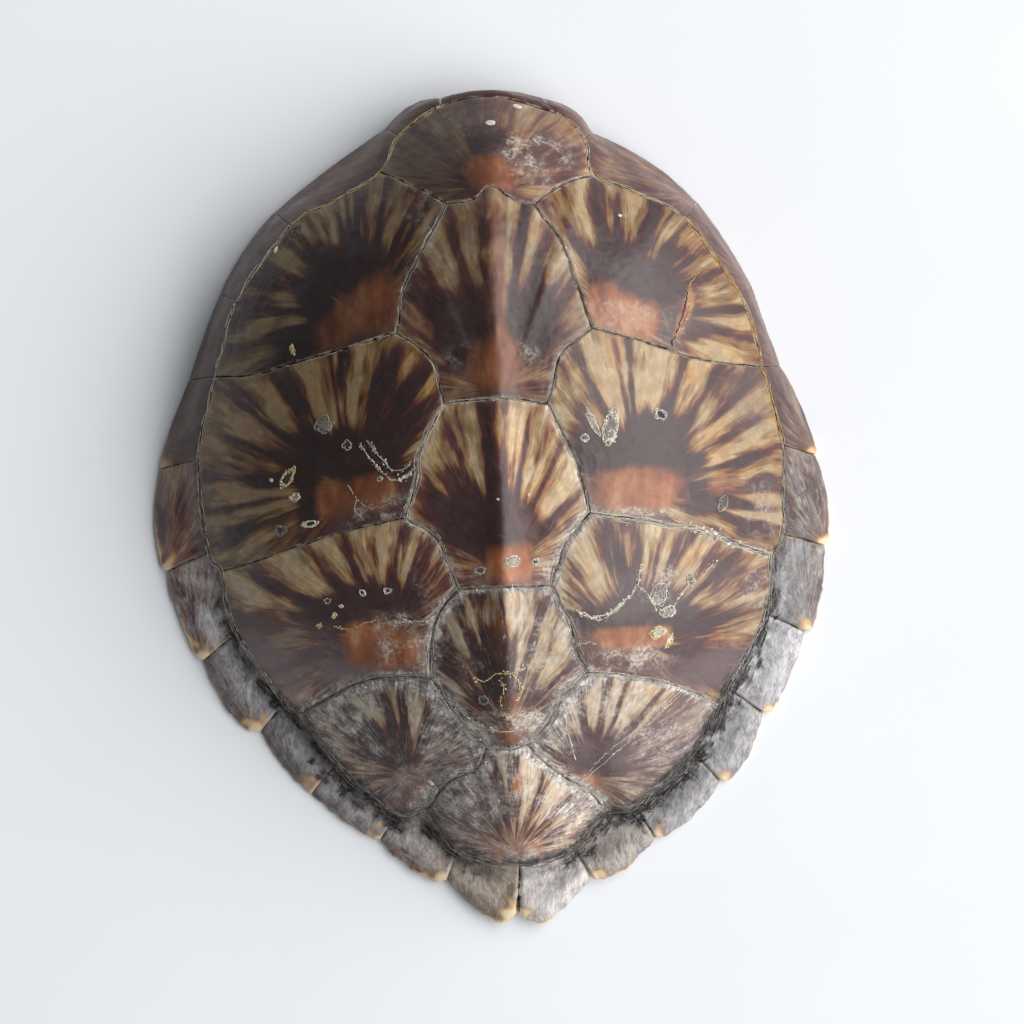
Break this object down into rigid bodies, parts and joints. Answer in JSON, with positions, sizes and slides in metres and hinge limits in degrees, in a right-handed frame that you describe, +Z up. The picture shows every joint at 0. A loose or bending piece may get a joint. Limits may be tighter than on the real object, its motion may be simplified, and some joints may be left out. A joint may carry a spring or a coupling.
{
  "type": "sea turtle shell",
  "caption": "Dry sea turtle carapace: a domed bone plate under mottled horn scutes with a saw-toothed rear rim, lying on its rim.",
  "frame": {"origin": "on the resting surface under the middle of the shell's bounding box", "axes": "+Z up out of the dome, +Y to the neck end, +X to the animal's right"},
  "size_m": [0.2828, 0.3505, 0.0891],
  "materials": {
    "dry_bone": "dry porous bone, matt",
    "mottled_horn": "brown and amber rayed horn, worn to a satin polish",
    "rim_horn": "dark brown scuffed horn with amber edges"
  },
  "bodies": {
    "root": {"bone_carapace": "dry_bone", "vertebral_1": "mottled_horn", "vertebral_2": "mottled_horn", "vertebral_3": "mottled_horn", "vertebral_4": "mottled_horn", "vertebral_5": "mottled_horn", "costal_left_1": "mottled_horn", "costal_left_2": "mottled_horn", "costal_left_3": "mottled_horn", "costal_left_4": "mottled_horn", "costal_right_1": "mottled_horn", "costal_right_2": "mottled_horn", "costal_right_3": "mottled_horn", "costal_right_4": "mottled_horn", "nuchal": "rim_horn", "marginal_left_1": "rim_horn", "marginal_left_2": "rim_horn", "marginal_left_3": "rim_horn", "marginal_left_4": "rim_horn", "marginal_left_5": "rim_horn", "marginal_left_6": "rim_horn", "marginal_left_7": "rim_horn", "marginal_left_8": "rim_horn", "marginal_left_9": "rim_horn", "marginal_left_10": "rim_horn", "marginal_left_11": "rim_horn", "marginal_right_1": "rim_horn", "marginal_right_2": "rim_horn", "marginal_right_3": "rim_horn", "marginal_right_4": "rim_horn", "marginal_right_5": "rim_horn", "marginal_right_6": "rim_horn", "marginal_right_7": "rim_horn", "marginal_right_8": "rim_horn", "marginal_right_9": "rim_horn", "marginal_right_10": "rim_horn", "marginal_right_11": "rim_horn", "supracaudal_left": "rim_horn", "supracaudal_right": "rim_horn"}
  },
  "joints": []
}
